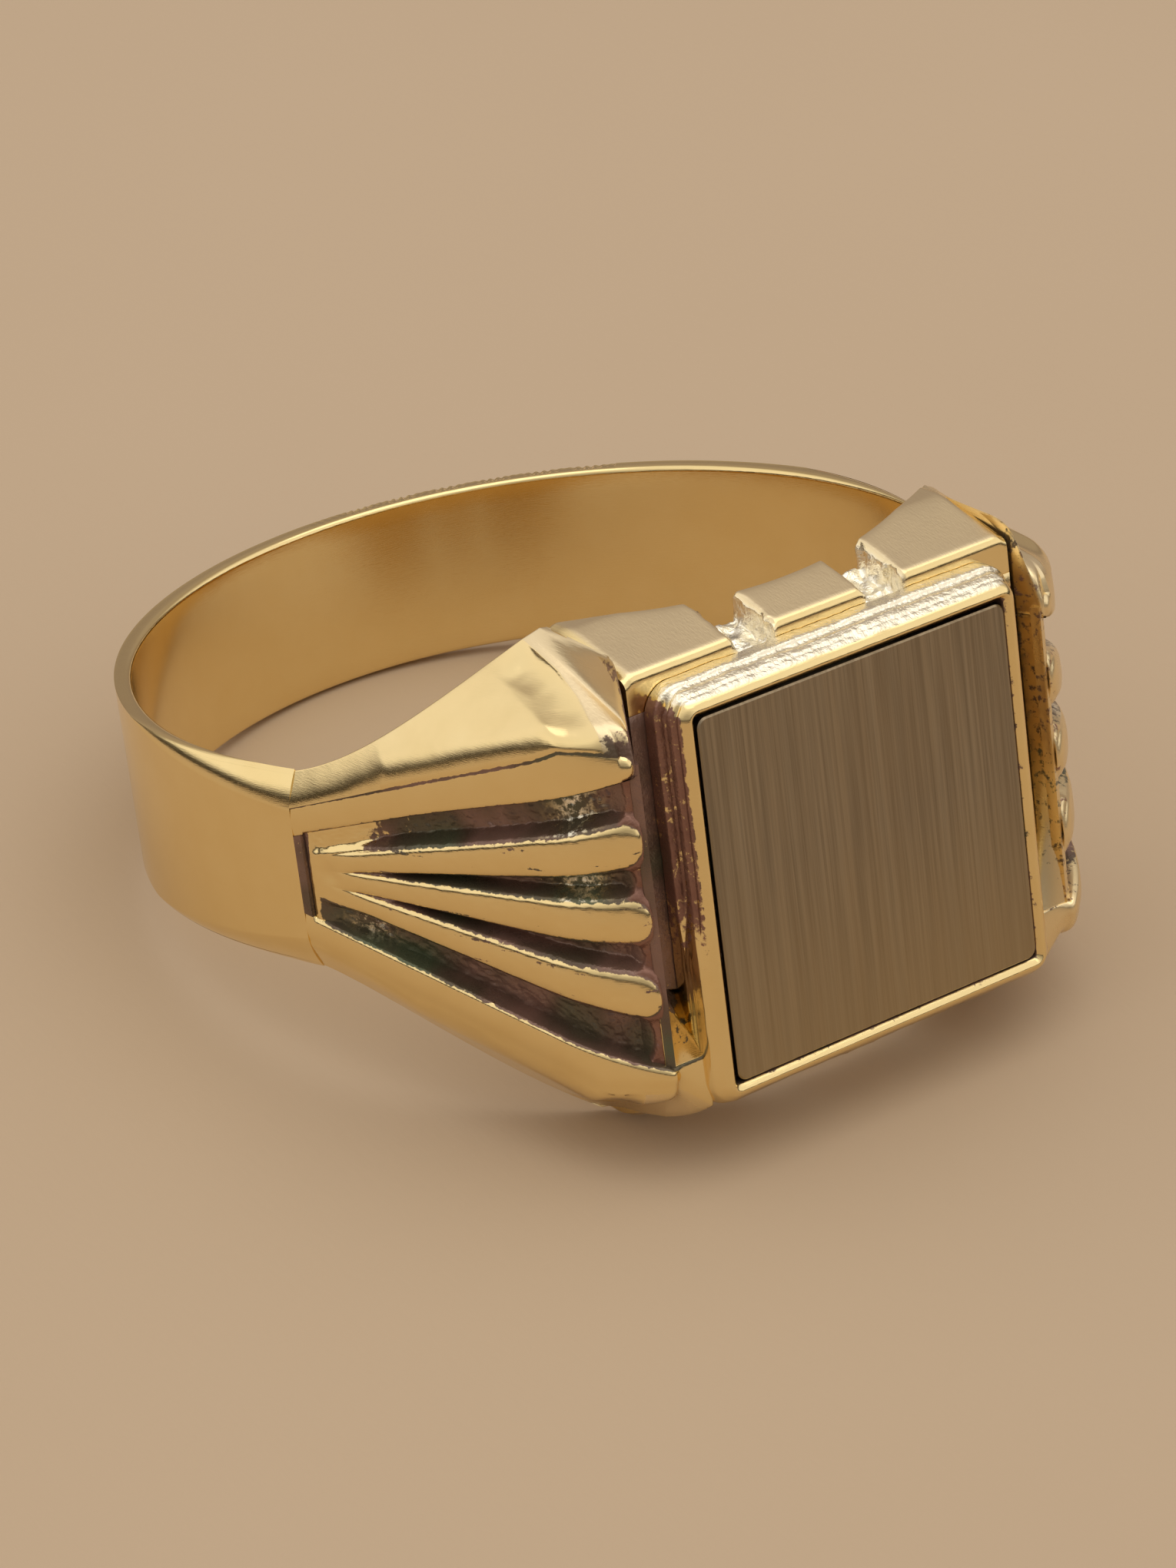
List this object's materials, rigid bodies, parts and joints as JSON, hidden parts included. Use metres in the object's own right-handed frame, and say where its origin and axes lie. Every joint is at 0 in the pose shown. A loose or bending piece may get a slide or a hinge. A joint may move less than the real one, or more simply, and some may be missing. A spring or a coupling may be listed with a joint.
{
  "type": "signet ring",
  "caption": "Gold-coloured signet ring: thin hoop, fluted tapering shoulders and a square head with a framed brushed table and notched side rails.",
  "frame": {"origin": "centre of the finger hole, at mid-width of the ring", "axes": "+Z along the finger hole's axis, -Y towards the head, +X to the right of the head seen from its front"},
  "size_m": [0.0208, 0.0229, 0.012],
  "materials": {
    "polished_gold": "polished yellow gold",
    "satin_gold": "hand-lapped satin",
    "oxidised_gold": "polished ribs over dark oxidised flutes",
    "brushed_plate": "fine brushed lines across the width of the ring"
  },
  "bodies": {
    "root": {"shank_left": "polished_gold", "shank_right": "polished_gold", "shoulder_left": "polished_gold", "shoulder_right": "polished_gold", "rib_fan_left": "oxidised_gold", "rib_fan_right": "oxidised_gold", "head_base": "oxidised_gold", "gallery_rail_upper": "satin_gold", "gallery_rail_lower": "satin_gold", "bezel_frame": "polished_gold", "table_plate": "brushed_plate"}
  },
  "joints": []
}
